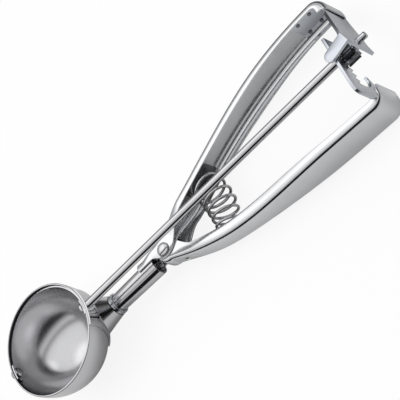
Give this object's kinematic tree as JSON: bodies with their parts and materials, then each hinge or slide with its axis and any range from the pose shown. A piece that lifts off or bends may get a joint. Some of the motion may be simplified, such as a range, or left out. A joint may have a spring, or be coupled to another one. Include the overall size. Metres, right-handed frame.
{
  "type": "lever ice cream scoop",
  "caption": "Stainless lever ice cream scoop: round bowl with a rotating scraper, worked through rack and pinion by squeezing its splayed handles.",
  "frame": {"origin": "centre of the bowl's mouth, level with its rim", "axes": "+X along the scraper spindle from the bowl to the handle ends; +Z out of the bowl's mouth; the fixed handle is on +Y"},
  "size_m": [0.2278, 0.0634, 0.0398],
  "materials": {
    "bowl_steel": "polished",
    "handle_steel": "polished",
    "bracket_steel": "satin",
    "rod_steel": "polished",
    "gear_steel": "satin",
    "spring_steel": "polished"
  },
  "bodies": {
    "frame": {"bowl": "bowl_steel", "bowl_saddle": "bowl_steel", "stem_collar": "bracket_steel", "stem_tube": "bowl_steel", "fixed_handle": "handle_steel", "spring_seat": "gear_steel", "arm_bracket": "bracket_steel", "arm_welds": "gear_steel", "pivot_pin": "rod_steel", "pivot_washer": "bracket_steel", "return_spring": "spring_steel"},
    "lever": {"moving_handle": "handle_steel", "root_rivet": "handle_steel", "rack": "bracket_steel", "rack_welds": "gear_steel"},
    "spindle": {"spindle_rod": "rod_steel", "pinion": "gear_steel", "pinion_collar": "bracket_steel", "blade": "bowl_steel", "blade_hub": "bracket_steel", "blade_pin": "rod_steel"}
  },
  "joints": [
    {"name": "handle_squeeze", "type": "hinge", "parent": "frame", "child": "lever", "pos_m": [0.0673, 0, -0.0179], "axis": [0, 0, 1], "range_deg": [0, 6.25], "stiffness_Nm_per_rad": 8, "springref_deg": -11.46, "deforming": ["return_spring"]},
    {"name": "scraper_turn", "type": "hinge", "parent": "frame", "child": "spindle", "pos_m": [0, 0, -0.0024], "axis": [1, 0, 0], "range_deg": [-170, 0]}
  ],
  "couplings": [
    {"joint": "scraper_turn", "follows": "handle_squeeze", "ratio": -27.03}
  ]
}
